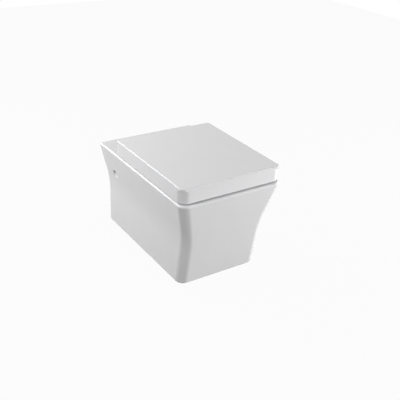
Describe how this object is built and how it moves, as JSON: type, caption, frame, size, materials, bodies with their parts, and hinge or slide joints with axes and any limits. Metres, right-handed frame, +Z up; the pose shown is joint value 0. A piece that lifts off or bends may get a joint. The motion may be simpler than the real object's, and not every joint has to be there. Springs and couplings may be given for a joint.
{
  "type": "wall hung toilet",
  "caption": "Box-shaped wall hung toilet with flared sides, concealed wall fixing, P-trap outlet and a thick wrap-over lid over its seat ring.",
  "frame": {"origin": "middle of the two wall bolt holes on the wall plane", "axes": "+Z up, +Y into the wall, front towards -Y, +X to the right as seen from the front of the wall looking at +Y"},
  "size_m": [0.3864, 0.5605, 0.3835],
  "materials": {
    "glazed_ceramic": "white glaze, high gloss",
    "white_seat_plastic": "white moulded thermoset, polished",
    "white_cap_plastic": "white, satin",
    "soft_buffer": "pale translucent elastomer",
    "clear_soft_plastic": "soft clear gasket",
    "black_rubber": "black rubber",
    "chromed_metal": "polished chrome",
    "stainless_steel": "stainless",
    "zinc_steel": "zinc plated",
    "brass": "plain",
    "grey_plastic": "grey engineering plastic"
  },
  "bodies": {
    "ceramic": {"ceramic_bowl": "glazed_ceramic", "fixing_brackets": "zinc_steel", "side_grub_screws": "stainless_steel", "side_bushes": "grey_plastic", "side_caps": "white_cap_plastic", "hinge_gaskets": "clear_soft_plastic", "hinge_base_plates": "chromed_metal", "hinge_screws": "stainless_steel", "expansion_sleeves": "black_rubber", "expansion_nuts": "brass", "hinge_block_left": "chromed_metal", "hinge_block_right": "chromed_metal", "hinge_lock_screws": "stainless_steel", "lid_damper_shaft": "stainless_steel", "lid_hinge_pin": "stainless_steel", "seat_damper_shaft": "stainless_steel", "seat_hinge_pin": "stainless_steel"},
    "lid": {"lid_shell": "white_seat_plastic", "lid_damper_barrel": "grey_plastic", "lid_hinge_bush": "grey_plastic", "lid_buffers": "soft_buffer"},
    "seat": {"seat_ring": "white_seat_plastic", "seat_damper_barrel": "grey_plastic", "seat_hinge_bush": "grey_plastic", "seat_buffers": "soft_buffer"}
  },
  "joints": [
    {"name": "lid_hinge", "type": "hinge", "parent": "ceramic", "child": "lid", "pos_m": [0, -0.134, 0.118], "axis": [-1, 0, 0], "range_deg": [0, 95]},
    {"name": "seat_hinge", "type": "hinge", "parent": "ceramic", "child": "seat", "pos_m": [0, -0.134, 0.118], "axis": [-1, 0, 0], "range_deg": [0, 91]}
  ],
  "couplings": [
    {"joint": "seat_hinge", "follows": "lid_hinge", "ratio": 0.95}
  ]
}
